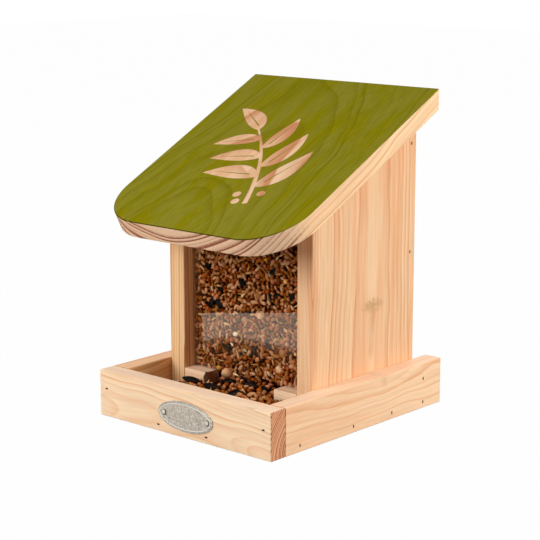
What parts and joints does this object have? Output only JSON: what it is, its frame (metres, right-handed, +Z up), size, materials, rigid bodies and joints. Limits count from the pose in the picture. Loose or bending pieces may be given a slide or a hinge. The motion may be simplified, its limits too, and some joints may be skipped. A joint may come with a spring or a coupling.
{
  "type": "silo bird feeder",
  "caption": "Wooden silo bird feeder: open seed tray, seed silo with a clear drop-in front and a slot at its foot, and a sloping green-stained roof that hinges back for filling.",
  "frame": {"origin": "centre of the tray's underside", "axes": "+X to the feeder's right seen from the front, +Y to the back, +Z up"},
  "size_m": [0.185, 0.2025, 0.2483],
  "materials": {
    "bare_pine": "planed, untreated",
    "stained_pine": "olive green stain on top, bare edges",
    "clear_acrylic": "clear, glossy",
    "galvanised_plate": "dull galvanised",
    "nail_steel": "dull",
    "hinge_steel": "zinc plated"
  },
  "bodies": {
    "base": {"floor_board": "bare_pine", "front_rail": "bare_pine", "left_rail": "bare_pine", "right_rail": "bare_pine", "left_side_panel": "bare_pine", "right_side_panel": "bare_pine", "back_panel": "bare_pine", "left_window_block": "bare_pine", "right_window_block": "bare_pine", "window_pane": "clear_acrylic", "badge_plate": "galvanised_plate", "badge_nails": "nail_steel", "front_rail_nails": "nail_steel", "left_rail_nails": "nail_steel", "right_rail_nails": "nail_steel", "left_panel_nails": "nail_steel", "right_panel_nails": "nail_steel", "block_nails": "nail_steel", "foot_nails": "nail_steel", "left_hinge_base_leaf": "hinge_steel", "right_hinge_base_leaf": "hinge_steel", "hinge_pins": "hinge_steel", "hinge_base_screws": "hinge_steel"},
    "roof": {"roof_board": "stained_pine", "left_hinge_roof_leaf": "hinge_steel", "right_hinge_roof_leaf": "hinge_steel", "hinge_roof_screws": "hinge_steel"}
  },
  "joints": [
    {"name": "roof_hinge", "type": "hinge", "parent": "base", "child": "roof", "pos_m": [0, 0.0859, 0.23153], "axis": [-1, 0, 0], "range_deg": [0, 170]}
  ]
}
